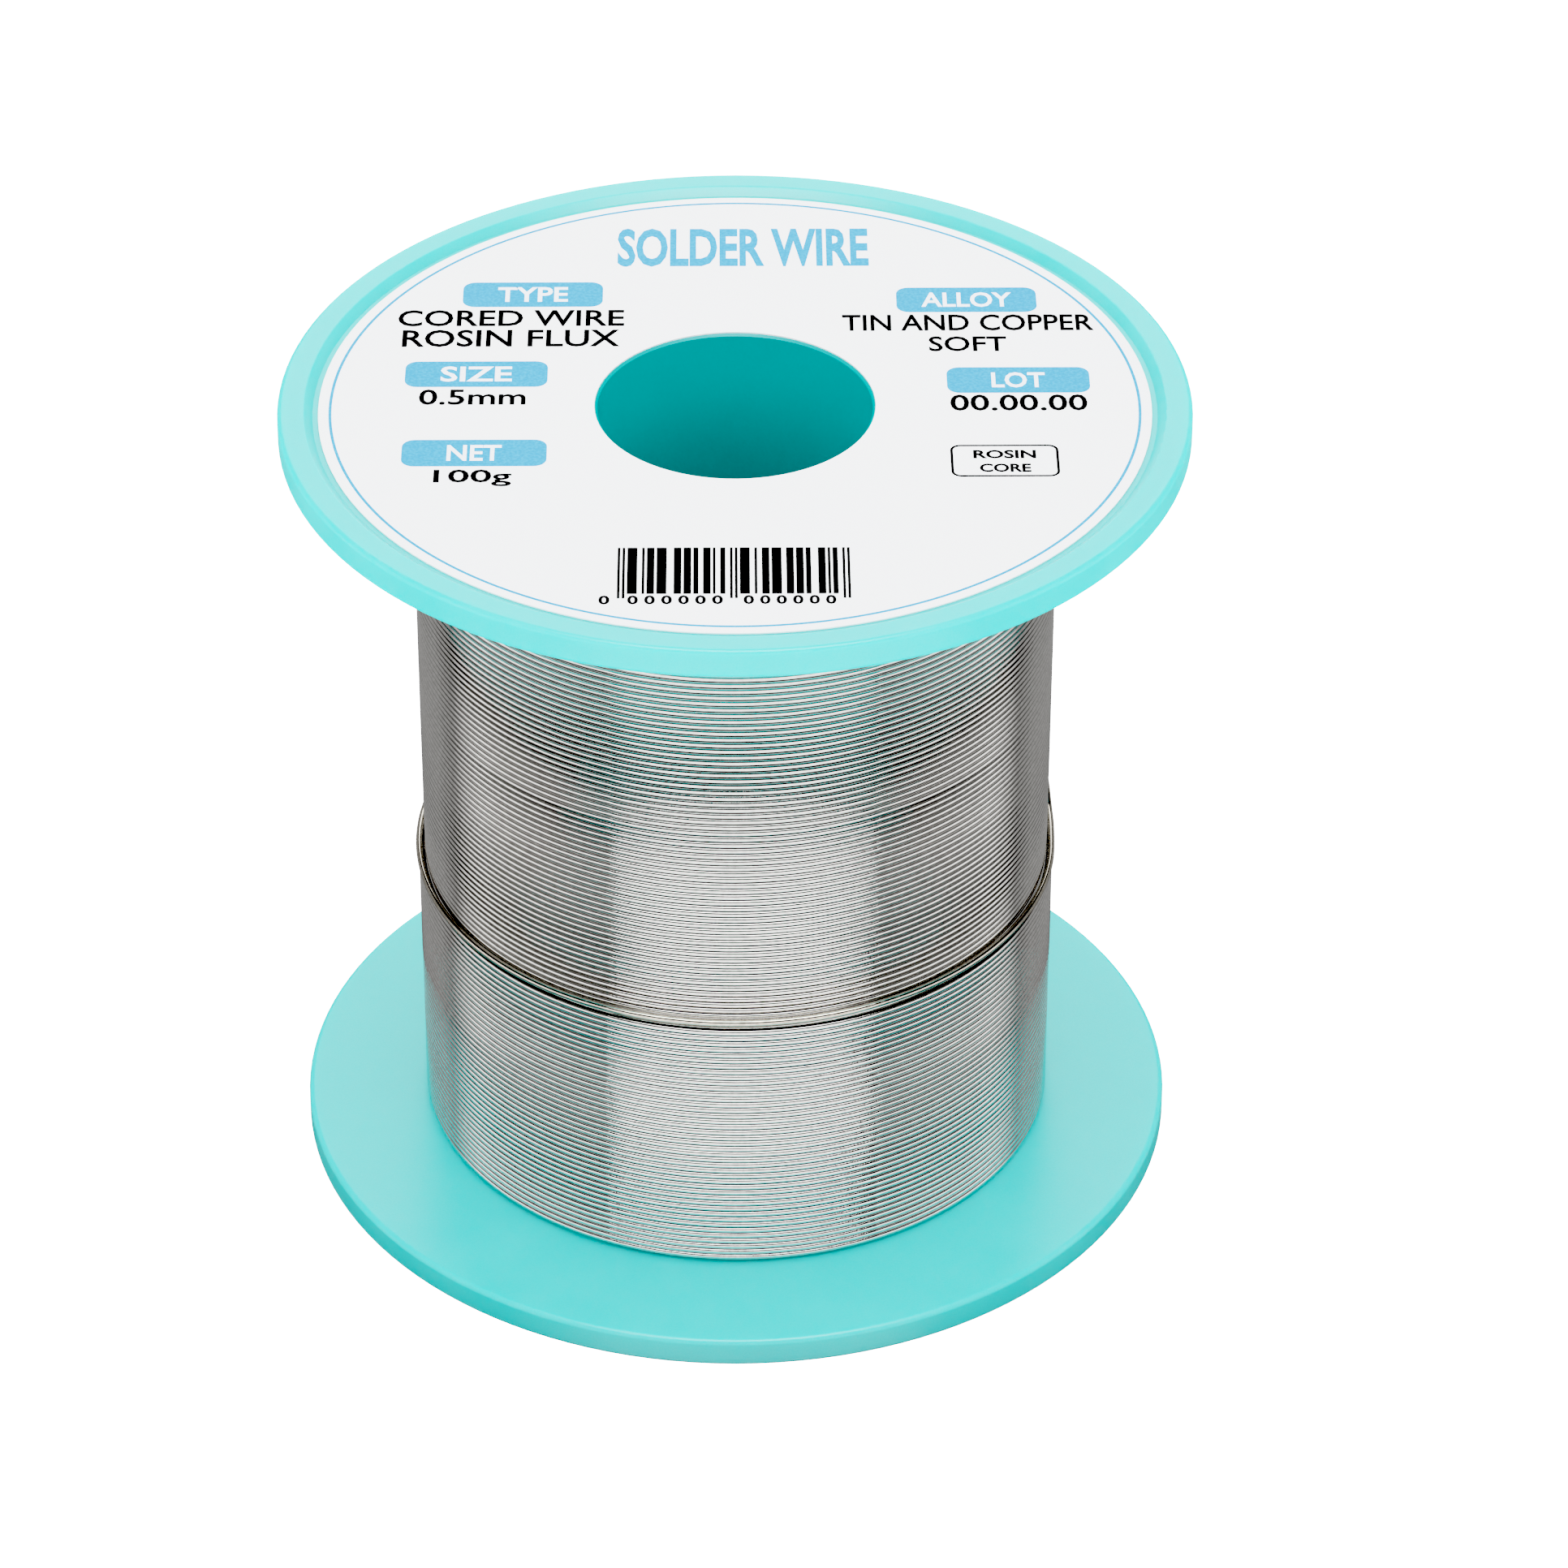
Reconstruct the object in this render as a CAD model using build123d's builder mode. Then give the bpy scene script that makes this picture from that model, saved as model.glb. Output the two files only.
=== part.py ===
"""Solder wire spool: a moulded two-flange spool with a hollow bore, wound with 0.5 mm cored solder.

The origin is at the middle of the underside, +Z is the spool's axis, and lengths are in millimetres.
The wire is one long strand. Each wound layer of it is a closed sleeve that the next layer lies on,
the top layer reaches only part of the way up, and its last turn and loose end are pieces of their own.
"""

import os
from math import cos, radians, sin, sqrt, tan

from build123d import *

# Overall sizes
FLANGE_DIAMETER = 65.0
OVERALL_HEIGHT = 62.0

# Flanges
WEB_THICKNESS = 1.7
RIM_RAISE = 0.55
RIM_WIDTH = 1.9
RIM_SLOPE = 0.6
RIM_INNER_RADIUS = 0.2
RIM_OUTER_RADIUS = 0.35
WOUND_SIDE_RADIUS = 0.4
SPIGOT_DEPTH = 3.0
SPIGOT_WALL = 1.2
SPIGOT_CLEARANCE = 0.05
RIB_COUNT = 8
RIB_THICKNESS = 1.2

# Barrel and bore tube
BARREL_DIAMETER = 41.77
BARREL_WALL = 1.2
BORE_DIAMETER = 19.6
BORE_WALL = 1.0
BORE_CHAMFER = 0.15
SHOULDER_WIDTH = 0.6
TUBE_CLEARANCE = 0.05

# Label
LABEL_THICKNESS = 0.1
LABEL_HOLE_DIAMETER = 20.0
LABEL_RIM_GAP = 0.4

# Wire and its flux core
WIRE_DIAMETER = 0.5
FLUX_DIAMETER = 0.22
FULL_LAYERS = 5
PART_LAYER_TURNS = 43

# Start of the wire, through a hole in the barrel
START_HOLE_CLEARANCE = 0.2
START_ABOVE_SPIGOT = 1.0
START_REACH = 1.6
START_TAIL = 3.2
START_BEND_RADIUS = 1.2

# Last turn, with angles in degrees about +Z from +X
END_RADIAL_GAP = 0.15
END_STEP_GAP = 0.2
END_TURN_FROM = 86.0
END_TURN_TO = 362.0
END_LEAD_OUT = 3.0

# Loose end: angle, height above the last turn, and clearance outside the part layer
END_ROUTE = [
    (374.5, 0.9, 0.20),
    (380.0, 3.4, 0.40),
    (387.0, 6.2, 0.45),
    (397.0, 8.2, 0.45),
    (409.0, 8.7, 0.45),
    (421.0, 7.5, 0.45),
    (432.0, 5.0, 0.45),
    (442.0, 1.9, 0.45),
    (452.0, -1.3, 0.45),
    (462.0, -4.1, 0.70),
    (471.0, -6.3, 1.50),
]

# Worked out from the sizes above
flange_radius = FLANGE_DIAMETER / 2
flange_height = WEB_THICKNESS + RIM_RAISE
wound_bottom = flange_height
wound_top = OVERALL_HEIGHT - flange_height
barrel_radius = BARREL_DIAMETER / 2
barrel_inner = barrel_radius - BARREL_WALL
bore_radius = BORE_DIAMETER / 2
tube_end_radius = bore_radius + BORE_WALL
tube_radius = tube_end_radius + SHOULDER_WIDTH
web_hole_radius = tube_end_radius + TUBE_CLEARANCE
spigot_outer = barrel_inner - SPIGOT_CLEARANCE
spigot_inner = spigot_outer - SPIGOT_WALL
recess_radius = flange_radius - RIM_WIDTH - RIM_SLOPE
wire_radius = WIRE_DIAMETER / 2
layer_pitch = WIRE_DIAMETER * sqrt(3) / 2
part_layer_top = wound_bottom + PART_LAYER_TURNS * WIRE_DIAMETER


def layer_outer(number):
    """Outer radius of a wound layer: layer 1 lies on the barrel and each other one nests on the last."""
    return barrel_radius + WIRE_DIAMETER + (number - 1) * layer_pitch


def on_cylinder(radius, angle, height):
    """Point at an angle in degrees round the spool's axis."""
    return Vector(radius * cos(radians(angle)), radius * sin(radians(angle)), height)


def bend_radii(points):
    """Largest even bend radius at each inner point of a route, from its two runs and its turn."""
    radii = []
    for before, corner, after in zip(points, points[1:], points[2:]):
        run_in = corner - before
        run_out = after - corner
        turn = radians(run_in.get_angle(run_out))
        radii.append(0.45 * min(run_in.length, run_out.length) / tan(turn / 2))
    return radii


def write(name, part):
    """Label a finished sub-part and write it to its own file."""
    part.label = name
    export_step(part, f"parts/{name}.step")
    print(name, "volume", round(part.volume, 2))


os.makedirs("parts", exist_ok=True)

# Flanges: a web with a raised rim outside, and a spigot and ribs inside that hold the barrel true.
# The profile is drawn for the bottom flange, and the top flange is its mirror image.
with BuildPart() as flange_bottom:
    with BuildSketch(Plane.XZ) as flange_profile:
        with BuildLine():
            Polyline(
                (web_hole_radius, RIM_RAISE),
                (recess_radius, RIM_RAISE),
                (recess_radius + RIM_SLOPE, 0),
                (flange_radius, 0),
                (flange_radius, flange_height),
                (web_hole_radius, flange_height),
                close=True,
            )
        make_face()
        fillet(flange_profile.vertices().group_by(Axis.Y)[0].sort_by(Axis.X)[0], RIM_INNER_RADIUS)
        fillet(flange_profile.vertices().group_by(Axis.X)[-1].sort_by(Axis.Y)[0], RIM_OUTER_RADIUS)
        fillet(flange_profile.vertices().group_by(Axis.X)[-1].sort_by(Axis.Y)[-1], WOUND_SIDE_RADIUS)
    revolve(axis=Axis.Z)
    rib_inner = tube_radius + TUBE_CLEARANCE
    rib_length = spigot_inner + SPIGOT_WALL / 2 - rib_inner
    with BuildSketch(Plane.XY.offset(flange_height)):
        Circle(spigot_outer)
        Circle(spigot_inner, mode=Mode.SUBTRACT)
        with PolarLocations(rib_inner + rib_length / 2, RIB_COUNT):
            Rectangle(rib_length, RIB_THICKNESS)
    extrude(amount=SPIGOT_DEPTH)
write("flange_bottom", flange_bottom.part)

with BuildPart() as flange_top:
    add(mirror(flange_bottom.part, about=Plane.XY.offset(OVERALL_HEIGHT / 2), mode=Mode.PRIVATE))
write("flange_top", flange_top.part)

# Barrel: the plain tube between the flanges that the wire is wound on, with the hole for its start.
start_height = wound_bottom + SPIGOT_DEPTH + START_ABOVE_SPIGOT
start_hole_radius = wire_radius + START_HOLE_CLEARANCE
with BuildPart() as barrel:
    with BuildSketch(Plane.XY.offset(wound_bottom)):
        Circle(barrel_radius)
        Circle(barrel_inner, mode=Mode.SUBTRACT)
    extrude(amount=wound_top - wound_bottom)
    with BuildSketch(Plane.YZ.offset(tube_radius)):
        with Locations((0, start_height)):
            Circle(start_hole_radius)
    extrude(amount=barrel_radius, mode=Mode.SUBTRACT)
write("barrel", barrel.part)

# Bore tube: the way through the spool. Its shoulders bear on the webs and its ends are flush.
with BuildPart() as bore_tube:
    with BuildSketch(Plane.XZ) as tube_profile:
        with BuildLine():
            Polyline(
                (bore_radius, RIM_RAISE),
                (tube_end_radius, RIM_RAISE),
                (tube_end_radius, wound_bottom),
                (tube_radius, wound_bottom),
                (tube_radius, wound_top),
                (tube_end_radius, wound_top),
                (tube_end_radius, OVERALL_HEIGHT - RIM_RAISE),
                (bore_radius, OVERALL_HEIGHT - RIM_RAISE),
                close=True,
            )
        make_face()
        chamfer(tube_profile.vertices().group_by(Axis.X)[0], BORE_CHAMFER)
    revolve(axis=Axis.Z)
write("bore_tube", bore_tube.part)

# Label: a paper ring stuck in the recess of the top flange.
with BuildPart() as label_top:
    with BuildSketch(Plane.XY.offset(OVERALL_HEIGHT - RIM_RAISE)):
        Circle(recess_radius - LABEL_RIM_GAP)
        Circle(LABEL_HOLE_DIAMETER / 2, mode=Mode.SUBTRACT)
    extrude(amount=LABEL_THICKNESS)
write("label_top", label_top.part)

# Wound layers: each fills the space from the layer under it to its own outer surface.
for number in range(1, FULL_LAYERS + 2):
    layer_inner = layer_outer(number - 1) if number > 1 else barrel_radius
    layer_top = wound_top if number <= FULL_LAYERS else part_layer_top
    with BuildPart() as wire_layer:
        with BuildSketch(Plane.XY.offset(wound_bottom)):
            Circle(layer_outer(number))
            Circle(layer_inner, mode=Mode.SUBTRACT)
        extrude(amount=layer_top - wound_bottom)
    write(f"wire_layer_{number}", wire_layer.part)

# Start of the wire: in through the barrel from under the first layer, and bent up inside it.
start_turn = barrel_inner - START_REACH
with BuildPart() as wire_start:
    with BuildLine() as start_path:
        FilletPolyline(
            (barrel_radius, 0, start_height),
            (start_turn, 0, start_height),
            (start_turn, 0, start_height + START_TAIL),
            radius=START_BEND_RADIUS,
        )
    with BuildSketch(Plane(start_path.line @ 0, z_dir=start_path.line % 0)):
        Circle(wire_radius)
    sweep()
write("wire_start", wire_start.part)

# Last turn and loose end: a level turn above the step of the part layer, then the end of the wire,
# which climbs the winding, comes back down over the step and stands off at its cut tip.
end_radius = layer_outer(FULL_LAYERS) + END_RADIAL_GAP + wire_radius
end_height = part_layer_top + END_STEP_GAP + wire_radius
turn_end = on_cylinder(end_radius, END_TURN_TO, end_height)
lead_out = turn_end + on_cylinder(END_LEAD_OUT, END_TURN_TO + 90, 0)
end_points = [turn_end, lead_out]
for angle, rise, gap in END_ROUTE:
    run_radius = layer_outer(FULL_LAYERS + 1) + gap + wire_radius
    end_points.append(on_cylinder(run_radius, angle, end_height + rise))
end_radii = bend_radii(end_points)
print("loose end bend radii", [round(radius, 1) for radius in end_radii])

with BuildLine(mode=Mode.PRIVATE) as end_path:
    CenterArc((0, 0, end_height), end_radius, END_TURN_FROM, END_TURN_TO - END_TURN_FROM)
    FilletPolyline(*end_points, radius=end_radii)
end_wire = end_path.wire()
end_section = Plane(end_wire @ 0, z_dir=end_wire % 0)
print("loose end length", round(end_wire.length, 2))

with BuildPart() as loose_end_wire:
    with BuildSketch(end_section):
        Circle(wire_radius)
        Circle(FLUX_DIAMETER / 2, mode=Mode.SUBTRACT)
    sweep(path=end_wire)
write("loose_end_wire", loose_end_wire.part)

with BuildPart() as loose_end_flux:
    with BuildSketch(end_section):
        Circle(FLUX_DIAMETER / 2)
    sweep(path=end_wire)
write("loose_end_flux", loose_end_flux.part)
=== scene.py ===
"""Looks of a solder wire spool: teal moulded flanges, a printed paper label and bright wound wire."""

import logging
import math
from dataclasses import dataclass
from enum import Enum

import bmesh
import bpy
from mathutils import Matrix, Vector


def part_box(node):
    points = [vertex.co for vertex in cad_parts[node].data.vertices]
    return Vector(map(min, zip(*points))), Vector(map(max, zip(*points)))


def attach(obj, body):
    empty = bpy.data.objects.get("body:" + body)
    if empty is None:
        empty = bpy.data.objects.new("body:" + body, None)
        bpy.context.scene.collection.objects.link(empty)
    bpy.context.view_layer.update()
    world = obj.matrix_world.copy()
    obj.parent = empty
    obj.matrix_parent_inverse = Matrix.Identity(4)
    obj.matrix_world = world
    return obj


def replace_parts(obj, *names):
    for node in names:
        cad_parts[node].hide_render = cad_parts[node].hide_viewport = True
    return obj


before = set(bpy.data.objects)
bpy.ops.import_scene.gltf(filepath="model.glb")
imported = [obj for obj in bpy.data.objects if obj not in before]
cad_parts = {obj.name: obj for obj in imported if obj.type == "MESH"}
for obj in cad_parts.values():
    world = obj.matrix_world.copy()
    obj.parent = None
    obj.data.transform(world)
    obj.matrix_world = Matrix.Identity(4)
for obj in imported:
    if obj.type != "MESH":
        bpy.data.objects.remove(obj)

LOG = logging.getLogger("spool")
MM = 0.001

Colour = tuple[float, float, float, float]
Point = tuple[float, float, float]


def linear(hex_code: str) -> Colour:
    """Turn an sRGB hex colour into linear values.

    Args:
        hex_code: six hex digits, such as "61c6c4".

    Returns:
        Red, green, blue and alpha, linear, from 0 to 1.
    """
    channels = [int(hex_code[start:start + 2], 16) / 255 for start in (0, 2, 4)]
    bent = [c / 12.92 if c <= 0.04045 else ((c + 0.055) / 1.055) ** 2.4 for c in channels]
    return (bent[0], bent[1], bent[2], 1.0)


def add_node(tree: bpy.types.NodeTree, kind: str, inputs: dict | None = None, **settings) -> bpy.types.Node:
    """Add one node with its settings and links.

    Args:
        tree: the tree that the node goes into.
        kind: the node's type name.
        inputs: input name or index to a value, or to the output socket that feeds it.
        settings: the node's own properties.

    Returns:
        The new node.
    """
    node = tree.nodes.new(kind)
    for name, value in settings.items():
        setattr(node, name, value)
    for key, value in (inputs or {}).items():
        if isinstance(value, bpy.types.NodeSocket):
            tree.links.new(value, node.inputs[key])
        else:
            node.inputs[key].default_value = value
    return node


class Grain(Enum):
    """Real sizes of surface patterns, in metres."""

    MOULD_TEXTURE = 0.00012
    MOULD_FLOW = 0.006
    PAPER_FIBRE = 0.0003
    PRINT_DOT = 0.00022
    DRAWN_STREAK = 0.0004
    FLUX_GRAIN = 0.00008

    @property
    def scale(self) -> float:
        """Noise scale whose features are this size."""
        return 1.0 / self.value


@dataclass(frozen=True)
class Finish:
    """A surface finish: what it is made of, its two shades, and how it takes light.

    Where a face turns steep enough to touch the next turn, its colour is darkened as painted shade.
    """

    name: str
    dark: str
    light: str
    roughness: tuple[float, float]
    pattern: Grain
    relief: float
    contrast: tuple[float, float] = (0.35, 0.65)
    metallic: float = 0.0
    ior: float | None = None
    depth: Point | None = None
    depth_weight: float = 0.0
    second_pattern: Grain | None = None
    painted_shade_steepness: tuple[float, float] | None = None
    painted_crevice_shade: str = "0f0e0e"

    def build(self) -> bpy.types.Material:
        """Build the finish as a material.

        Returns:
            The material, made once and found again by name.
        """
        known = bpy.data.materials.get(self.name)
        if known:
            return known
        material = bpy.data.materials.new(self.name)
        material.use_nodes = True
        tree = material.node_tree
        tree.nodes.clear()
        place = add_node(tree, "ShaderNodeTexCoord").outputs["Object"]
        fine = add_node(
            tree, "ShaderNodeTexNoise", {"Vector": place, "Scale": self.pattern.scale, "Detail": 3.0}
        )
        noise = fine.outputs["Fac"]
        if self.second_pattern:
            broad = add_node(
                tree, "ShaderNodeTexNoise",
                {"Vector": place, "Scale": self.second_pattern.scale, "Detail": 2.0},
            )
            noise = add_node(
                tree, "ShaderNodeMix", {0: 0.5, 2: noise, 3: broad.outputs["Fac"]}, data_type="FLOAT"
            ).outputs[0]
        spread = add_node(
            tree, "ShaderNodeMapRange",
            {"Value": noise, "From Min": self.contrast[0], "From Max": self.contrast[1]},
        ).outputs[0]
        shade = add_node(
            tree, "ShaderNodeMix", {0: spread, 6: linear(self.dark), 7: linear(self.light)},
            data_type="RGBA"
        ).outputs[2]
        rough = add_node(
            tree, "ShaderNodeMapRange",
            {"Value": spread, "To Min": self.roughness[0], "To Max": self.roughness[1]},
        ).outputs[0]
        # Painted shade: the colour turns near black where a face is steep, as where the turns touch.
        if self.painted_shade_steepness:
            facing = add_node(tree, "ShaderNodeNewGeometry").outputs["Normal"]
            upward = add_node(tree, "ShaderNodeSeparateXYZ", {0: facing}).outputs["Z"]
            steep = add_node(tree, "ShaderNodeMath", {0: upward}, operation="ABSOLUTE").outputs[0]
            painted_shade_mask = add_node(
                tree, "ShaderNodeMapRange",
                {"Value": steep, "From Min": self.painted_shade_steepness[0], "From Max": self.painted_shade_steepness[1]},
            ).outputs[0]
            shade = add_node(
                tree, "ShaderNodeMix", {0: painted_shade_mask, 6: shade, 7: linear(self.painted_crevice_shade)},
                data_type="RGBA"
            ).outputs[2]
        bump = add_node(
            tree, "ShaderNodeBump",
            {"Height": fine.outputs["Fac"], "Strength": 1.0, "Distance": self.relief},
        ).outputs[0]
        inputs = {"Base Color": shade, "Roughness": rough, "Normal": bump, "Metallic": self.metallic}
        if self.ior:
            inputs["IOR"] = self.ior
        if self.depth:
            inputs["Subsurface Weight"] = self.depth_weight
            inputs["Subsurface Radius"] = self.depth
            inputs["Subsurface Scale"] = MM
        shader = add_node(tree, "ShaderNodeBsdfPrincipled", inputs)
        add_node(tree, "ShaderNodeOutputMaterial", {"Surface": shader.outputs[0]})
        return material


# Polystyrene, injection moulded: an even aqua that light gets a little way into, with a soft sheen.
MOULDED_STYRENE = Finish(
    "moulded_styrene", dark="49caca", light="53d0cf", roughness=(0.32, 0.40), pattern=Grain.MOULD_TEXTURE,
    relief=0.000004, ior=1.59, depth=(0.3, 1.4, 1.3), depth_weight=0.8, second_pattern=Grain.MOULD_FLOW,
)
# The same styrene, extruded as the bore's tube, its colour darkened as painted shade: little light reaches
# it.
SHADED_BORE_STYRENE = Finish(
    "shaded_bore_styrene", dark="04989a", light="089d9f", roughness=(0.36, 0.44), pattern=Grain.MOULD_TEXTURE,
    relief=0.000003, ior=1.5, second_pattern=Grain.MOULD_FLOW,
)
# Tin alloy, drawn: bright as a mirror, with faint streaks left by the die, and painted shade, near black,
# where turns touch.
DRAWN_TIN = Finish(
    "drawn_tin", dark="d0cecb", light="dddbd8", roughness=(0.03, 0.07), pattern=Grain.DRAWN_STREAK,
    relief=0.000001, metallic=1.0, painted_shade_steepness=(0.84, 0.90),
)
# The wire's end: the same tin a little dull, its colour darkened to a straw grey as painted shade.
SHADED_END_TIN = Finish(
    "shaded_end_tin", dark="b5afa4", light="c8c2b7", roughness=(0.08, 0.14), pattern=Grain.DRAWN_STREAK,
    relief=0.0000015, metallic=1.0,
)
# The same wire deep in the winding, where it only shows between two turns, its colour darkened as painted
# shade.
SHADED_DRAWN_TIN_UNDER = Finish(
    "shaded_drawn_tin_under", dark="8c8a86", light="a09d98", roughness=(0.2, 0.3), pattern=Grain.DRAWN_STREAK,
    relief=0.000002, metallic=1.0,
)
# Coated label paper: white with a trace of blue, almost smooth.
LABEL_PAPER = Finish(
    "label_paper", dark="e8ecf7", light="edf0fb", roughness=(0.45, 0.55), pattern=Grain.PAPER_FIBRE,
    relief=0.000004, ior=1.45,
)
# Thermal-transfer inks: the blue breaks up into dots, the black hardly does.
BLUE_INK = Finish(
    "blue_ink", dark="3288c4", light="4999d1", roughness=(0.5, 0.6), pattern=Grain.PRINT_DOT,
    relief=0.000001, ior=1.3, contrast=(0.40, 0.66),
)
BLACK_INK = Finish(
    "black_ink", dark="060506", light="100e10", roughness=(0.5, 0.6), pattern=Grain.PRINT_DOT,
    relief=0.000001, ior=1.12,
)
WHITE_INK = Finish(
    "white_ink", dark="e4ebf4", light="eef2f8", roughness=(0.45, 0.55), pattern=Grain.PRINT_DOT,
    relief=0.000001, ior=1.45,
)
# Rosin: amber and glassy where the wire is cut.
ROSIN = Finish(
    "rosin", dark="9a6a1c", light="c79032", roughness=(0.1, 0.2), pattern=Grain.FLUX_GRAIN,
    relief=0.000003, ior=1.52, depth=(0.2, 0.1, 0.05), depth_weight=0.5,
)


def dress(node: str, finish: Finish) -> None:
    """Give a carried-over node a finish in place of its plain one.

    Args:
        node: the node's name.
        finish: the finish it gets.
    """
    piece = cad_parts[node]
    material = finish.build()
    for slot in piece.material_slots:
        slot.material = material
    if not piece.material_slots:
        piece.data.materials.append(material)


def place_piece(name: str, mesh: bpy.types.Mesh, body: str,
                finish: Finish | None = None) -> bpy.types.Object:
    """Put a finished mesh into the scene and tie it to a body.

    Args:
        name: the piece's name.
        mesh: its mesh, already in place.
        body: the body that it rides on.
        finish: its finish, or None where the mesh already carries one.

    Returns:
        The new object, at the origin.
    """
    mesh.name = name
    piece = bpy.data.objects.new(name, mesh)
    bpy.context.scene.collection.objects.link(piece)
    if finish:
        mesh.materials.clear()
        mesh.materials.append(finish.build())
    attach(piece, body)
    LOG.info("%s: %d faces on %s", name, len(mesh.polygons), body)
    return piece


def glow_material(name: str, colour: Colour, strength: float) -> bpy.types.Material:
    """Make a plain glowing material for a light card.

    Args:
        name: its name.
        colour: its colour.
        strength: how bright it is.

    Returns:
        The material.
    """
    material = bpy.data.materials.new(name)
    material.use_nodes = True
    tree = material.node_tree
    tree.nodes.clear()
    glow = add_node(tree, "ShaderNodeEmission", {"Color": colour, "Strength": strength})
    add_node(tree, "ShaderNodeOutputMaterial", {"Surface": glow.outputs[0]})
    return material


@dataclass
class Studio:
    """The pale floor, the light, the camera, and the camera's soft shoulder for highlights.

    A card is its name, its sweep in degrees about +Z from +X, its two heights and its strength.
    """

    camera_place: Point = (0.001189, -0.392078, 0.300491)
    camera_tilt: float = math.radians(55.27)
    lens: float = 148.09
    shift: float = 0.02055
    floor_half: float = 3.0
    card_radius: float = 0.9
    tent: float = 1.35
    walls: float = 0.85
    behind: float = 0.17
    tent_edge: tuple[float, float] = (0.20, 0.30)
    roof_edge: tuple[float, float] = (0.46, 0.43)
    side_edge: tuple[float, float] = (0.34, 0.10)
    ground_fade: tuple[float, float] = (-0.80, -0.10)
    ground_falloff: float = 2.5
    shadow_reach: tuple[float, float] = (0.032, 0.17)
    shadow_glow: tuple[float, float] = (0.08, 2.1)
    cards: tuple[tuple[str, tuple[float, float], tuple[float, float], float], ...] = (
        ("front_softbox", (-152.0, -18.0), (1.5, 5.0), 5.5),
        ("front_flag", (-132.5, -41.0), (0.29, 1.5), 0.012),
        ("front_wall", (-132.5, -41.0), (-4.0, 0.29), 1.0),
        ("back_wall", (76.0, 104.0), (0.19, 1.07), 1.4),
    )
    dark: float = 0.012
    clipped: float = 3.0
    black_level: float = 0.025
    white_level: float = 2.5
    knee: float = 0.3

    def build(self) -> None:
        """Build the camera, the floor, the light cards and the surroundings."""
        self.add_camera()
        self.add_floor()
        self.add_world()
        for name, sweep, heights, strength in self.cards:
            self.add_card(name, sweep, heights, glow_material(name, linear("ffffff"), strength))
        self.expose()

    def add_camera(self) -> None:
        """Add the camera, looking down on the spool from the front."""
        camera = bpy.data.objects.new("camera", bpy.data.cameras.new("camera"))
        camera.data.lens = self.lens
        camera.data.sensor_width = 36.0
        camera.data.shift_x = self.shift
        camera.data.clip_start = 0.01
        camera.location = self.camera_place
        camera.rotation_euler = (self.camera_tilt, 0, 0)
        bpy.context.scene.collection.objects.link(camera)
        bpy.context.scene.camera = camera

    def expose(self) -> None:
        """Roll bright values off as film does, so bright plastic turns pastel and the gaps stay black."""
        view = bpy.context.scene.view_settings
        view.view_transform = "Standard"
        view.use_curve_mapping = True
        mapping = view.curve_mapping
        mapping.black_level = (self.black_level,) * 3
        mapping.white_level = (self.white_level,) * 3
        knee = self.knee / (self.white_level - self.black_level)
        points = mapping.curves[3].points
        steps = 14
        for step in range(1, steps):
            place = (step / steps) ** 3
            points.new(place, (1 + knee) * place / (place + knee))
        mapping.update()

    def add_floor(self) -> None:
        """Add the pale floor: white to the camera, and darker near the spool, where its shadow falls."""
        half = self.floor_half
        mesh = bpy.data.meshes.new("floor")
        mesh.from_pydata([(-half, -half, 0), (half, -half, 0), (half, half, 0), (-half, half, 0)], [],
                         [(0, 1, 2, 3)])
        floor = bpy.data.objects.new("floor", mesh)
        bpy.context.scene.collection.objects.link(floor)
        material = bpy.data.materials.new("pale_floor")
        material.use_nodes = True
        tree = material.node_tree
        tree.nodes.clear()
        place = add_node(tree, "ShaderNodeTexCoord").outputs["Object"]
        away = add_node(tree, "ShaderNodeVectorMath", {0: place}, operation="LENGTH").outputs["Value"]
        lit = add_node(
            tree, "ShaderNodeMapRange",
            {"Value": away, "From Min": self.shadow_reach[0], "From Max": self.shadow_reach[1],
             "To Min": self.shadow_glow[0], "To Max": self.shadow_glow[1]},
        ).outputs[0]
        seen = add_node(tree, "ShaderNodeLightPath").outputs["Is Camera Ray"]
        level = add_node(
            tree, "ShaderNodeMix", {0: seen, 2: lit, 3: self.clipped}, data_type="FLOAT"
        ).outputs[0]
        glow = add_node(tree, "ShaderNodeEmission", {"Color": (1, 1, 1, 1), "Strength": level})
        add_node(tree, "ShaderNodeOutputMaterial", {"Surface": glow.outputs[0]})
        mesh.materials.append(material)
        floor.visible_glossy = False

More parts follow.
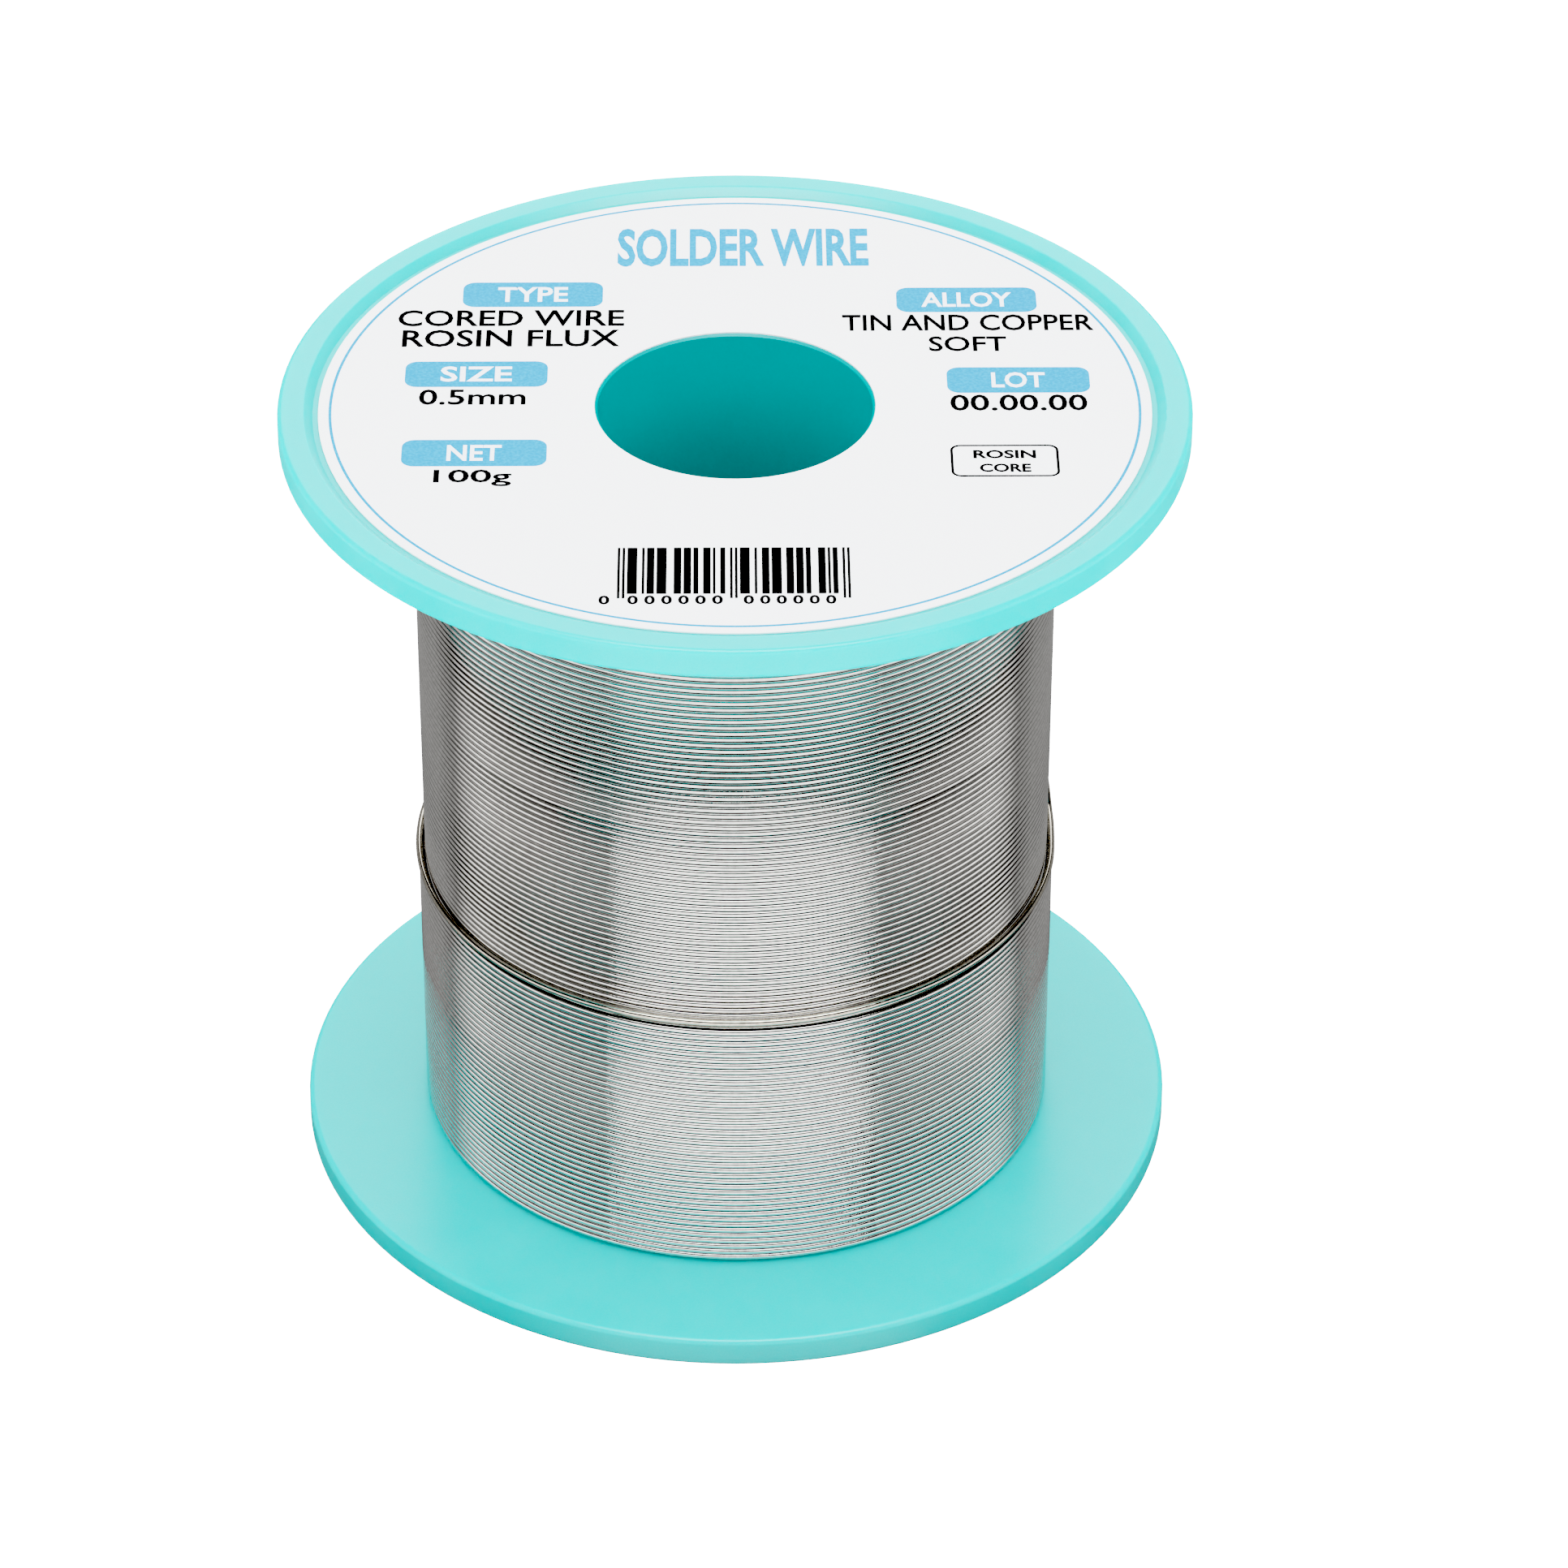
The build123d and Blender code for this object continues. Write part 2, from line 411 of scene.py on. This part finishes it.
    def add_world(self) -> None:
        """Light the surroundings: a tent for matt surfaces, and walls under a dark roof for shiny ones."""
        world = bpy.data.worlds.new("studio")
        bpy.context.scene.world = world
        world.use_nodes = True
        tree = world.node_tree
        tree.nodes.clear()
        direction = add_node(tree, "ShaderNodeTexCoord").outputs["Generated"]
        axes = add_node(tree, "ShaderNodeSeparateXYZ", {0: direction})
        rays = add_node(tree, "ShaderNodeLightPath").outputs
        soft = add_node(
            tree, "ShaderNodeMapRange",
            {"Value": axes.outputs["Z"], "From Min": self.tent_edge[0], "From Max": self.tent_edge[1],
             "To Min": self.dark, "To Max": self.tent},
        ).outputs[0]
        fade = add_node(
            tree, "ShaderNodeMapRange",
            {"Value": axes.outputs["Z"], "From Min": self.ground_fade[0], "From Max": self.ground_fade[1]},
        ).outputs[0]
        falling = add_node(
            tree, "ShaderNodeMath", {0: fade, 1: self.ground_falloff}, operation="POWER"
        ).outputs[0]
        below = add_node(
            tree, "ShaderNodeMapRange", {"Value": falling, "To Min": self.dark, "To Max": self.walls}
        ).outputs[0]
        around = add_node(
            tree, "ShaderNodeMapRange",
            {"Value": axes.outputs["Y"], "From Min": self.side_edge[0], "From Max": self.side_edge[1],
             "To Min": self.behind, "To Max": self.walls},
        ).outputs[0]
        from_above = add_node(
            tree, "ShaderNodeMapRange",
            {"Value": axes.outputs["Z"], "From Min": self.roof_edge[0], "From Max": self.roof_edge[1],
             "To Min": self.dark, "To Max": self.walls},
        ).outputs[0]
        sides = add_node(tree, "ShaderNodeMath", {0: below, 1: around}, operation="MINIMUM").outputs[0]
        crisp = add_node(tree, "ShaderNodeMath", {0: sides, 1: from_above}, operation="MINIMUM").outputs[0]
        lit = add_node(
            tree, "ShaderNodeMix", {0: rays["Is Diffuse Ray"], 2: crisp, 3: soft}, data_type="FLOAT"
        ).outputs[0]
        level = add_node(
            tree, "ShaderNodeMix", {0: rays["Is Camera Ray"], 2: lit, 3: self.clipped}, data_type="FLOAT"
        ).outputs[0]
        sky = add_node(tree, "ShaderNodeBackground", {"Color": (1, 1, 1, 1), "Strength": level})
        add_node(tree, "ShaderNodeOutputWorld", {"Surface": sky.outputs[0]})

    def add_card(self, name: str, sweep: tuple[float, float], heights: tuple[float, float],
                 material: bpy.types.Material) -> None:
        """Add an upright curved light card round the spool's axis.

        Args:
            name: the card's name.
            sweep: where it starts and ends, in degrees about +Z from +X.
            heights: the heights of its lower and upper edge.
            material: the glow it gives.
        """
        steps = 48
        points = []
        for step in range(steps + 1):
            angle = math.radians(sweep[0] + (sweep[1] - sweep[0]) * step / steps)
            x, y = self.card_radius * math.cos(angle), self.card_radius * math.sin(angle)
            points += [(x, y, heights[0]), (x, y, heights[1])]
        faces = [(2 * i, 2 * i + 1, 2 * i + 3, 2 * i + 2) for i in range(steps)]
        mesh = bpy.data.meshes.new(name)
        mesh.from_pydata(points, [], faces)
        mesh.materials.append(material)
        card = bpy.data.objects.new(name, mesh)
        bpy.context.scene.collection.objects.link(card)
        card.visible_camera = False
        card.visible_diffuse = False
        card.visible_shadow = False


@dataclass(frozen=True)
class Layer:
    """One wound layer: its centre radius, lowest centre, start angle, hand, looseness and seed."""

    radius: float
    bottom: float
    start: float
    left_handed: bool
    looseness: float
    seed: float


@dataclass
class Winding:
    """The wound wire: the bare upper part, the layer that reaches part of the way up, and its end."""

    wire: float = 0.0005
    sides: int = 10
    turn_points: int = 180
    coarse_sides: int = 6
    coarse_points: int = 72
    wander: float = 0.000014
    wander_rate: float = 35.0
    end_from: float = 86.0

    def __post_init__(self) -> None:
        """Read the winding's places from the frame."""
        low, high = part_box("wire_layer_5")
        self.bottom, self.top = low[2], high[2]
        self.full_radius = high[0] - self.wire / 2
        step_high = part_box("wire_layer_6")[1]
        self.step_radius = step_high[0] - self.wire / 2
        self.step_top = step_high[2]

    def tree(self) -> bpy.types.NodeTree:
        """Build the node tree that winds a wire round the spool's axis.

        Returns:
            The tree, with the winding's sizes as named inputs.
        """
        tree = bpy.data.node_groups.new("wound_wire", "GeometryNodeTree")
        face = tree.interface
        face.new_socket("Geometry", in_out="INPUT", socket_type="NodeSocketGeometry")
        for name, kind in (
            ("Points Per Turn", "NodeSocketInt"), ("Turns", "NodeSocketFloat"),
            ("Radius", "NodeSocketFloat"), ("Height", "NodeSocketFloat"),
            ("Bottom", "NodeSocketFloat"), ("Start Angle", "NodeSocketFloat"),
            ("Left Handed", "NodeSocketBool"), ("Wire Radius", "NodeSocketFloat"),
            ("Sides", "NodeSocketInt"), ("Wander", "NodeSocketFloat"),
            ("Seed", "NodeSocketFloat"), ("Material", "NodeSocketMaterial"),
        ):
            face.new_socket(name, in_out="INPUT", socket_type=kind)
        face.new_socket("Geometry", in_out="OUTPUT", socket_type="NodeSocketGeometry")
        given = add_node(tree, "NodeGroupInput").outputs
        spiral = add_node(
            tree, "GeometryNodeCurveSpiral",
            {"Resolution": given["Points Per Turn"], "Rotations": given["Turns"],
             "Start Radius": given["Radius"], "End Radius": given["Radius"],
             "Height": given["Height"], "Reverse": given["Left Handed"]},
        )
        lift = add_node(tree, "ShaderNodeCombineXYZ", {"Z": given["Bottom"]})
        turn = add_node(tree, "ShaderNodeCombineXYZ", {"Z": given["Start Angle"]})
        placed = add_node(
            tree, "GeometryNodeTransform",
            {"Geometry": spiral.outputs[0], "Translation": lift.outputs[0], "Rotation": turn.outputs[0]},
        )
        along = add_node(tree, "GeometryNodeSplineParameter").outputs["Length"]
        waves = add_node(
            tree, "ShaderNodeMath", {0: along, 1: self.wander_rate}, operation="MULTIPLY"
        ).outputs[0]
        seeded = add_node(tree, "ShaderNodeMath", {0: waves, 1: given["Seed"]}, operation="ADD").outputs[0]
        noise = add_node(
            tree, "ShaderNodeTexNoise", {"W": seeded, "Scale": 1.0, "Detail": 1.0}, noise_dimensions="1D"
        ).outputs["Fac"]
        centred = add_node(tree, "ShaderNodeMath", {0: noise, 1: 0.5}, operation="SUBTRACT").outputs[0]
        drift = add_node(
            tree, "ShaderNodeMath", {0: centred, 1: given["Wander"]}, operation="MULTIPLY"
        ).outputs[0]
        offset = add_node(tree, "ShaderNodeCombineXYZ", {"Z": drift}).outputs[0]
        moved = add_node(tree, "GeometryNodeSetPosition", {"Geometry": placed.outputs[0], "Offset": offset})
        profile = add_node(
            tree, "GeometryNodeCurvePrimitiveCircle",
            {"Resolution": given["Sides"], "Radius": given["Wire Radius"]},
        )
        swept = add_node(
            tree, "GeometryNodeCurveToMesh",
            {"Curve": moved.outputs[0], "Profile Curve": profile.outputs[0], "Fill Caps": True},
        )
        smooth = add_node(tree, "GeometryNodeSetShadeSmooth", {"Geometry": swept.outputs[0]})
        real = add_node(tree, "GeometryNodeRealizeInstances", {"Geometry": smooth.outputs[0]})
        dressed = add_node(
            tree, "GeometryNodeSetMaterial", {"Geometry": real.outputs[0], "Material": given["Material"]}
        )
        add_node(tree, "NodeGroupOutput", {0: dressed.outputs[0]})
        return tree

    def wind(self, name: str, values: dict) -> bpy.types.Object:
        """Wind one band of wire and turn it into a plain mesh piece.

        Args:
            name: the piece's name.
            values: the tree's input names and their values.

        Returns:
            The piece, riding on the spool.
        """
        holder = bpy.data.objects.new(name + "_holder", bpy.data.meshes.new(name + "_holder"))
        bpy.context.scene.collection.objects.link(holder)
        modifier = holder.modifiers.new("wind", "NODES")
        modifier.node_group = self.nodes
        sockets = {s.name: s.identifier for s in self.nodes.interface.items_tree if s.in_out == "INPUT"}
        for key, value in values.items():
            modifier[sockets[key]] = value
        graph = bpy.context.evaluated_depsgraph_get()
        mesh = bpy.data.meshes.new_from_object(holder.evaluated_get(graph))
        bpy.data.objects.remove(holder)
        return place_piece(name, mesh, "spool")

    def band(self, name: str, layer: Layer, first: float, last: float,
             coarse: bool = False) -> bpy.types.Object:
        """Wind the turns of a layer between two turn numbers.

        Args:
            name: the piece's name.
            layer: the layer that the turns belong to.
            first: the turn it starts at, counted from the bottom.
            last: the turn it ends at.
            coarse: True for turns that are covered.

        Returns:
            The piece.
        """
        sign = -1 if layer.left_handed else 1
        return self.wind(name, {
            "Points Per Turn": self.coarse_points if coarse else self.turn_points,
            "Turns": last - first, "Radius": layer.radius, "Height": (last - first) * self.wire,
            "Bottom": layer.bottom + first * self.wire,
            "Start Angle": math.radians(layer.start) + sign * first * math.tau,
            "Left Handed": layer.left_handed, "Wire Radius": self.wire / 2,
            "Sides": self.coarse_sides if coarse else self.sides,
            "Wander": self.wander * layer.looseness, "Seed": layer.seed + first,
            "Material": DRAWN_TIN.build(),
        })

    def build(self) -> None:
        """Build every visible part of the winding."""
        self.nodes = self.tree()
        turns = (self.top - self.bottom) / self.wire - 1
        step_turns = (self.step_top - self.bottom) / self.wire - 1
        full = Layer(self.full_radius, self.bottom + self.wire / 2, 0.0, True, 1.0, 3.0)
        covered = math.floor(step_turns) - 2
        middle = covered + round((turns - covered) / 2)
        for name, first, last in (("covered", 0, covered), ("lower", covered, middle),
                                  ("upper", middle, turns)):
            piece = self.band(f"turns_{name}", full, first, last, coarse=name == "covered")
            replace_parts(piece, "wire_layer_5")
        start = self.end_from - 2 - 360 * step_turns
        step = Layer(self.step_radius, self.bottom + self.wire / 2, start, False, 2.2, 5.0)
        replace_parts(self.band("turns_step", step, 0, step_turns), "wire_layer_6")
        # The covered layers get the tin darkened as painted shade.
        for number in (1, 2, 3, 4):
            dress(f"wire_layer_{number}", SHADED_DRAWN_TIN_UNDER)
        dress("wire_start", DRAWN_TIN)


def tube_mesh(points: list[Vector], outer: float, inner: float, sides: int = 14) -> bpy.types.Mesh:
    """Sweep a round or hollow section along points and close its ends.

    Args:
        points: the line that it follows.
        outer: its outer radius.
        inner: its inner radius, or 0 for a solid section.
        sides: how many sides its section has.

    Returns:
        The closed mesh.
    """
    form = bmesh.new()
    along = (points[1] - points[0]).normalized()
    side = along.orthogonal().normalized()
    rings = []
    for index, point in enumerate(points):
        before, after = points[max(index - 1, 0)], points[min(index + 1, len(points) - 1)]
        turned = (after - before).normalized()
        side = along.rotation_difference(turned) @ side
        along = turned
        other = along.cross(side)
        rays = [
            side * math.cos(math.tau * k / sides) + other * math.sin(math.tau * k / sides)
            for k in range(sides)
        ]
        walls = [
            [form.verts.new(point + ray * radius) for ray in rays]
            for radius in (outer, inner) if radius
        ]
        rings.append(walls)
    for before, after in zip(rings, rings[1:]):
        for wall in range(len(before)):
            for k in range(sides):
                n = (k + 1) % sides
                form.faces.new((before[wall][k], before[wall][n], after[wall][n], after[wall][k]))
    for walls in (rings[0], rings[-1]):
        if inner:
            for k in range(sides):
                n = (k + 1) % sides
                form.faces.new((walls[0][k], walls[0][n], walls[1][n], walls[1][k]))
        else:
            form.faces.new(walls[0])
    bmesh.ops.recalc_face_normals(form, faces=form.faces)
    for face in form.faces:
        face.smooth = True
    for walls in (rings[0], rings[-1]):
        for wall in walls:
            for k in range(sides):
                form.edges.get((wall[k], wall[(k + 1) % sides])).smooth = False
    mesh = bpy.data.meshes.new("tube")
    form.to_mesh(mesh)
    form.free()
    return mesh


@dataclass
class LooseEnd:
    """The wire's end: its last turn above the step, then the run that climbs the winding and comes down.

    A route point is an angle in degrees, a height above the last turn and a clearance outside the
    part layer.
    """

    wire: float = 0.0005
    core: float = 0.00022
    radial_gap: float = 0.00015
    step_gap: float = 0.0002
    turn_from: float = 86.0
    turn_to: float = 362.0
    turn_step: float = 12.0
    lead_out: float = 0.003
    waver: float = 0.00005
    core_fit: float = 0.98
    core_stands_out: float = 0.00003
    route: tuple[Point, ...] = (
        (374.5, 0.0009, 0.0002), (380.0, 0.0034, 0.0004), (387.0, 0.0062, 0.00045),
        (397.0, 0.0082, 0.00045), (409.0, 0.0087, 0.00045), (421.0, 0.0075, 0.00045),
        (432.0, 0.0050, 0.00045), (442.0, 0.0019, 0.00045), (452.0, -0.0013, 0.00045),
        (462.0, -0.0041, 0.0007), (471.0, -0.0063, 0.0015),
    )

    def controls(self) -> list[Vector]:
        """Work out the control points of the end's line.

        Returns:
            Round the last turn, out along its tangent, and along the route.
        """
        full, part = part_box("wire_layer_5")[1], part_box("wire_layer_6")[1]
        radius = full[0] + self.radial_gap + self.wire / 2
        height = part[2] + self.step_gap + self.wire / 2
        steps = round((self.turn_to - self.turn_from) / self.turn_step)
        step = math.radians((self.turn_to - self.turn_from) / steps)
        stood_out = radius * 4 / (3 + math.cos(step))
        points = []
        for number in range(steps + 1):
            angle = math.radians(self.turn_from) + number * step
            reach = radius if number in (0, steps) else stood_out
            rise = self.waver * math.sin(2.3 * angle) * math.sin(0.7 * angle + 1.0)
            points.append(Vector((reach * math.cos(angle), reach * math.sin(angle), height + rise)))
        last = math.radians(self.turn_to)
        points.append(points[-1] + self.lead_out * Vector((-math.sin(last), math.cos(last), 0)))
        for degrees, rise, clearance in self.route:
            angle, reach = math.radians(degrees), part[0] + clearance + self.wire / 2
            points.append(Vector((reach * math.cos(angle), reach * math.sin(angle), height + rise)))
        return points

    def line(self) -> list[Vector]:
        """Read the smooth line off a NURBS curve through the control points.

        Returns:
            Points along it, in order.
        """
        controls = self.controls()
        data = bpy.data.curves.new("end_line", "CURVE")
        data.dimensions = "3D"
        spline = data.splines.new("NURBS")
        spline.points.add(len(controls) - 1)
        for point, place in zip(spline.points, controls):
            point.co = (*place, 1.0)
        spline.order_u = 3
        spline.use_endpoint_u = True
        spline.resolution_u = 12
        holder = bpy.data.objects.new("end_line", data)
        bpy.context.scene.collection.objects.link(holder)
        graph = bpy.context.evaluated_depsgraph_get()
        mesh = bpy.data.meshes.new_from_object(holder.evaluated_get(graph))
        points = [vertex.co.copy() for vertex in mesh.vertices]
        bpy.data.objects.remove(holder)
        bpy.data.meshes.remove(mesh)
        return points

    def build(self) -> None:
        """Build the hollow wire and the flux core that shows at its cut."""
        points = self.line()
        length = sum((after - before).length for before, after in zip(points, points[1:]))
        LOG.info("loose end: %.1f mm long", length / MM)
        # The end's wire gets the tin darkened as painted shade.
        wire = place_piece(
            "end_wire", tube_mesh(points, self.wire / 2, self.core / 2), "loose_end", SHADED_END_TIN
        )
        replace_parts(wire, "loose_end_wire")
        tip = points[-1] + (points[-1] - points[-2]).normalized() * self.core_stands_out
        core = place_piece(
            "end_core", tube_mesh(points + [tip], self.core / 2 * self.core_fit, 0.0, 8),
            "loose_end", ROSIN,
        )
        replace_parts(core, "loose_end_flux")


def rounded_loop(width: float, height: float, radius: float, steps: int = 6) -> list[Vector]:
    """Corner points of a rounded rectangle round the origin, counter-clockwise.

    Args:
        width: its size along X.
        height: its size along Y.
        radius: its corner radius.
        steps: how many steps each corner takes.

    Returns:
        The points, with Z at 0.
    """
    loop = []
    for corner, (x, y) in enumerate(((1, 1), (-1, 1), (-1, -1), (1, -1))):
        for step in range(steps + 1):
            angle = math.radians(90 * corner + 90 * step / steps)
            loop.append(Vector((
                x * (width / 2 - radius) + radius * math.cos(angle),
                y * (height / 2 - radius) + radius * math.sin(angle), 0,
            )))
    return loop


def slab(form: bmesh.types.BMesh, outer: list[Vector], inner: list[Vector] | None, low: float,
         high: float) -> None:
    """Add a thin closed slab with an upright edge, with or without a hole.

    Args:
        form: the mesh being built.
        outer: its outline, counter-clockwise.
        inner: its hole, with as many points as the outline.
        low: the height of its underside.
        high: the height of its top.
    """
    loops = [outer] + ([inner] if inner else [])
    levels = [[[form.verts.new((p.x, p.y, z)) for p in loop] for loop in loops] for z in (low, high)]
    count = len(outer)
    for loop in range(len(loops)):
        for k in range(count):
            n = (k + 1) % count
            form.faces.new((levels[0][loop][k], levels[0][loop][n], levels[1][loop][n], levels[1][loop][k]))
    for level in levels:
        if inner:
            for k in range(count):
                n = (k + 1) % count
                form.faces.new((level[0][k], level[0][n], level[1][n], level[1][k]))
        else:
            form.faces.new(level[0])


@dataclass
class LabelPrint:
    """What is printed on the label: captions on blue pills, plain words, a ring, a box and a bar pattern.

    Places are on the label with the spool's axis at 0. A box is left, right, bottom and top.
    """

    turn: float = math.radians(0.3)
    ink: float = 0.000012
    sunk: float = 0.000002
    pill: tuple[float, float, float] = (0.0102, 0.0035, 0.0009)
    letter_half: float = 0.00064
    wide_letter_half: float = 0.00066
    caption_share: float = 0.30
    caption_weight: float = 0.022
    header_weight: float = 0.03
    word_weight: float = 0.014
    bold_weight: float = 0.028
    ring_radius: float = 0.02875
    ring_line: float = 0.0002
    stamp_box: tuple[float, float, float, float] = (0.0151, 0.0227, -0.0098, -0.0056)
    stamp_line: float = 0.00018
    stamp_corner: float = 0.0007
    bar_box: tuple[float, float, float, float] = (-0.0081, 0.0078, -0.0247, -0.0189)
    bar_seed: int = 11
    bar_modules: int = 95
    guard_drop: float = 0.00055
    captions: tuple[tuple[str, float, float], ...] = (
        ("TYPE", -0.0147, 0.0154), ("ALLOY", 0.0169, 0.0145), ("SIZE", -0.0185, 0.0042),
        ("LOT", 0.02025, 0.0032), ("NET", -0.01835, -0.0065),
    )
    words: tuple[tuple[str, float, float, float, float], ...] = (
        ("CORED WIRE", -0.0244, -0.0080, 0.0109, 0.0132), ("ROSIN FLUX", -0.0240, -0.0083, 0.0080, 0.0104),
        ("TIN AND COPPER", 0.0078, 0.0260, 0.0101, 0.0124), ("SOFT", 0.0140, 0.0196, 0.0072, 0.0093),
        ("0.5mm", -0.0225, -0.0149, 0.0, 0.0021), ("00.00.00", 0.0153, 0.02505, -0.0010, 0.0012),
        ("100g", -0.0211, -0.01565, -0.0109, -0.0087),
    )
    bold_words: tuple[tuple[str, float, float, float, float], ...] = (
        ("ROSIN", 0.0167, 0.0211, -0.0074, -0.0063), ("CORE", 0.0171, 0.0207, -0.0092, -0.0081),
        ("0", -0.00935, -0.0086, -0.0260, -0.0249), ("0 0 0 0 0 0", -0.0074, -0.0009, -0.0260, -0.0249),
        ("0 0 0 0 0 0", 0.0005, 0.0068, -0.0260, -0.0249),
    )
    header: tuple[str, float, float, float, float] = ("SOLDER WIRE", -0.0086, 0.0099, 0.0194, 0.0250)

    def lettering(self, form: bmesh.types.BMesh, words: str, box: tuple[float, float, float, float],
                  low: float, high: float, weight: float = 0.0) -> None:
        """Add one line of lettering, stretched to fill its box.

        Args:
            form: the mesh being built.
            words: the line.
            box: where it goes.
            low: the height of its underside.
            high: the height of its top.
            weight: how much thicker its strokes are, as a share of its size.
        """
        data = bpy.data.curves.new("lettering", "FONT")
        data.body = words
        data.offset = weight
        data.extrude = 0.5
        data.resolution_u = 3
        holder = bpy.data.objects.new("lettering", data)
        bpy.context.scene.collection.objects.link(holder)
        graph = bpy.context.evaluated_depsgraph_get()
        mesh = bpy.data.meshes.new_from_object(holder.evaluated_get(graph))
        bpy.data.objects.remove(holder)
        lows = [min(v.co[axis] for v in mesh.vertices) for axis in range(3)]
        highs = [max(v.co[axis] for v in mesh.vertices) for axis in range(3)]
        goal = ((box[0], box[1]), (box[2], box[3]), (low, high))
        for vertex in mesh.vertices:
            for axis in range(3):
                share = (vertex.co[axis] - lows[axis]) / (highs[axis] - lows[axis])
                vertex.co[axis] = goal[axis][0] + share * (goal[axis][1] - goal[axis][0])
        form.from_mesh(mesh)
        bpy.data.meshes.remove(mesh)

    def finish_piece(self, name: str, form: bmesh.types.BMesh, finish: Finish) -> None:
        """Turn the print to the label's angle and place it as one piece.

        Args:
            name: the piece's name.
            form: its mesh.
            finish: its ink.
        """
        bmesh.ops.remove_doubles(form, verts=form.verts, dist=0.000001)
        bmesh.ops.recalc_face_normals(form, faces=form.faces)
        form.transform(Matrix.Rotation(self.turn, 4, "Z"))
        mesh = bpy.data.meshes.new(name)
        form.to_mesh(mesh)
        form.free()
        place_piece(name, mesh, "spool", finish)

    def shifted(self, loop: list[Vector], x: float, y: float) -> list[Vector]:
        """Move an outline over the label.

        Args:
            loop: its points.
            x: how far it moves along X.
            y: how far it moves along Y.

        Returns:
            The moved points.
        """
        return [point + Vector((x, y, 0)) for point in loop]

    def bars(self, form: bmesh.types.BMesh, low: float, high: float) -> None:
        """Add a pattern of bars that stands for a code and holds none.

        Args:
            form: the mesh being built.
            low: the height of its underside.
            high: the height of its top.
        """
        left, right, bottom, top = self.bar_box
        module = (right - left) / self.bar_modules
        place, step = 0, 0
        while place < self.bar_modules:
            guard = place < 3 or 45 <= place < 50 or place >= self.bar_modules - 3
            wide = 1 if guard else 1 + (step * step + self.bar_seed * step // 3) % 4
            gap = 1 if guard else 1 + (step * 7 + self.bar_seed) % 3 % 2 + (step % 5 == 0)
            wide = min(wide, self.bar_modules - place)
            reach = bottom - (self.guard_drop if guard else 0.0)
            loop = rounded_loop(module * (wide + 0.04), top - reach, module * 0.08, 1)
            slab(form, self.shifted(loop, left + module * (place + wide / 2), (top + reach) / 2), None,
                 low, high)
            place += wide + gap
            step += 1

    def build(self) -> None:
        """Build the blue, the black and the white print."""
        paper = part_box("label_top")[1][2]
        low, high = paper - self.sunk, paper + self.ink
        blue, black, white = bmesh.new(), bmesh.new(), bmesh.new()
        width, height, corner = self.pill
        for words, x, y in self.captions:
            slab(blue, self.shifted(rounded_loop(width, height, corner), x, y), None, low, high)
            half = (self.wide_letter_half if words == "ALLOY" else self.letter_half) * len(words)
            rise = height * self.caption_share
            box = (x - half, x + half, y - rise, y + rise)
            self.lettering(white, words, box, high - self.sunk, high + self.ink / 2, self.caption_weight)
        self.lettering(blue, self.header[0], self.header[1:], low, high, self.header_weight)
        angles = [math.tau * k / 240 for k in range(240)]
        rim = [Vector((math.cos(a), math.sin(a), 0)) for a in angles]
        outer, inner = self.ring_radius + self.ring_line / 2, self.ring_radius - self.ring_line / 2
        slab(blue, [p * outer for p in rim], [p * inner for p in rim], low, high)
        for words, *box in self.words:
            self.lettering(black, words, box, low, high, self.word_weight)
        for words, *box in self.bold_words:
            self.lettering(black, words, box, low, high, self.bold_weight)
        left, right, bottom, top = self.stamp_box
        middle = ((left + right) / 2, (bottom + top) / 2)
        edge = rounded_loop(right - left, top - bottom, self.stamp_corner)
        line = self.stamp_line
        hole = rounded_loop(right - left - 2 * line, top - bottom - 2 * line, self.stamp_corner - line)
        slab(black, self.shifted(edge, *middle), self.shifted(hole, *middle), low, high)
        self.bars(black, low, high)
        self.finish_piece("label_print_blue", blue, BLUE_INK)
        self.finish_piece("label_print_black", black, BLACK_INK)
        self.finish_piece("label_print_white", white, WHITE_INK)


def main() -> None:
    """Build the whole scene in order."""
    logging.basicConfig(level=logging.INFO, format="%(name)s: %(message)s")
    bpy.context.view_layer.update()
    Studio().build()
    for node in ("flange_bottom", "flange_top", "barrel"):
        dress(node, MOULDED_STYRENE)
    # The bore's tube gets the styrene darkened as painted shade.
    dress("bore_tube", SHADED_BORE_STYRENE)
    dress("label_top", LABEL_PAPER)
    Winding().build()
    LooseEnd().build()
    LabelPrint().build()


if __name__ == "__main__":
    main()
